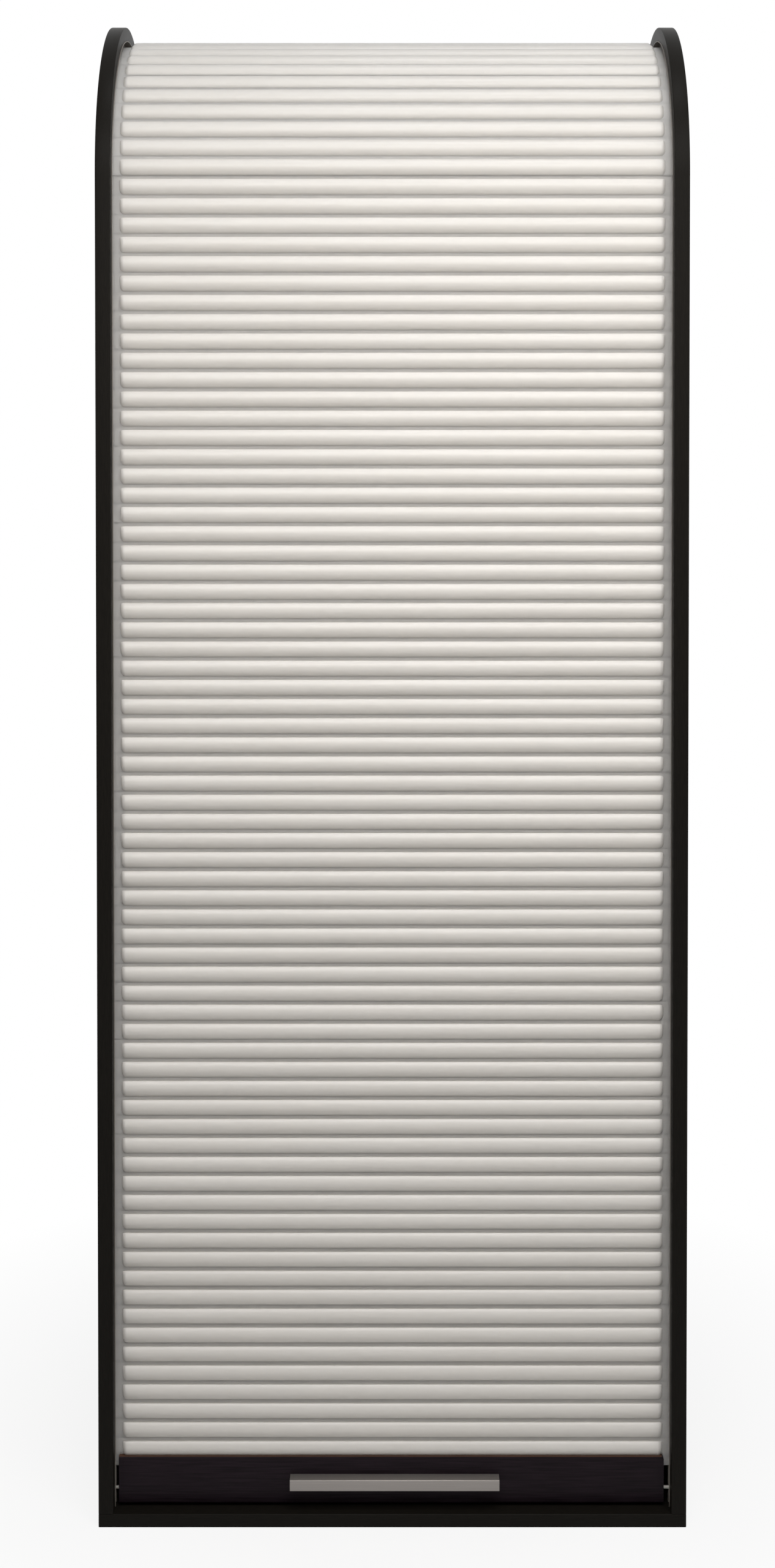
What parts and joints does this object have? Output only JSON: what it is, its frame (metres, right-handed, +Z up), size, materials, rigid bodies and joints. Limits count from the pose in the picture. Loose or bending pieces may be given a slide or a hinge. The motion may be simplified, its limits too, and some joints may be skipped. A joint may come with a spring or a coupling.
{
  "type": "tambour door cabinet",
  "caption": "Tall cupboard with a half-round top, a roll-up slatted curtain in side channels, a lead bar with a bar handle, and shelves behind it.",
  "frame": {"origin": "on the floor, under the middle of the base plate", "axes": "+Z up, -Y towards the front with the curtain, +X to the viewer's right when facing the front"},
  "size_m": [0.79, 0.44, 2.035],
  "materials": {
    "melamine_board": "near-black melamine faced board, fine satin texture, edge-banded",
    "bar_board": "dark brown foil-wrapped board, satin",
    "slat_plastic": "extruded warm off-white plastic, satin",
    "channel_plastic": "extruded grey-beige plastic lining, satin",
    "hardboard": "thin lacquered hardboard, matt",
    "aluminium": "anodised extruded aluminium, fine lengthwise grain",
    "zinc": "zinc-plated steel and die-cast zinc",
    "nylon": "moulded white nylon"
  },
  "bodies": {
    "cabinet": {"side_panel_left": "melamine_board", "side_panel_right": "melamine_board", "guide_channel_left": "channel_plastic", "guide_channel_right": "channel_plastic", "base_plate": "melamine_board", "base_screw_front_left": "zinc", "base_screw_rear_left": "zinc", "base_screw_front_right": "zinc", "base_screw_rear_right": "zinc", "fixed_shelf": "melamine_board", "ceiling_board": "melamine_board", "cam_shelf_front_left": "zinc", "cam_shelf_rear_left": "zinc", "cam_shelf_front_right": "zinc", "cam_shelf_rear_right": "zinc", "cam_ceiling_front_left": "zinc", "cam_ceiling_rear_left": "zinc", "cam_ceiling_front_right": "zinc", "cam_ceiling_rear_right": "zinc", "cam_bolt_shelf_front_left": "zinc", "cam_bolt_shelf_rear_left": "zinc", "cam_bolt_shelf_front_right": "zinc", "cam_bolt_shelf_rear_right": "zinc", "cam_bolt_ceiling_front_left": "zinc", "cam_bolt_ceiling_rear_left": "zinc", "cam_bolt_ceiling_front_right": "zinc", "cam_bolt_ceiling_rear_right": "zinc", "shelf_1": "melamine_board", "shelf_3": "melamine_board", "shelf_4": "melamine_board", "shelf_pin_1_front_left": "zinc", "shelf_pin_1_rear_left": "zinc", "shelf_pin_1_front_right": "zinc", "shelf_pin_1_rear_right": "zinc", "shelf_pin_3_front_left": "zinc", "shelf_pin_3_rear_left": "zinc", "shelf_pin_3_front_right": "zinc", "shelf_pin_3_rear_right": "zinc", "shelf_pin_4_front_left": "zinc", "shelf_pin_4_rear_left": "zinc", "shelf_pin_4_front_right": "zinc", "shelf_pin_4_rear_right": "zinc", "inner_back": "hardboard", "outer_back": "hardboard", "curtain_front_run": "slat_plastic", "curtain_front_arc": "slat_plastic", "curtain_rear_arc": "slat_plastic", "curtain_tail": "slat_plastic"},
    "door": {"lead_bar": "bar_board", "guide_pin_left": "nylon", "guide_pin_right": "nylon", "flap_screw_1": "zinc", "flap_screw_2": "zinc", "flap_screw_3": "zinc", "flap_screw_4": "zinc", "flap_screw_5": "zinc", "handle": "aluminium", "handle_screw_left": "zinc", "handle_screw_right": "zinc"}
  },
  "joints": [
    {"name": "door_slide", "type": "slide", "parent": "cabinet", "child": "door", "axis": [0, 0, 1], "range_m": [0, 1.724], "deforming": ["curtain_front_run"]}
  ]
}
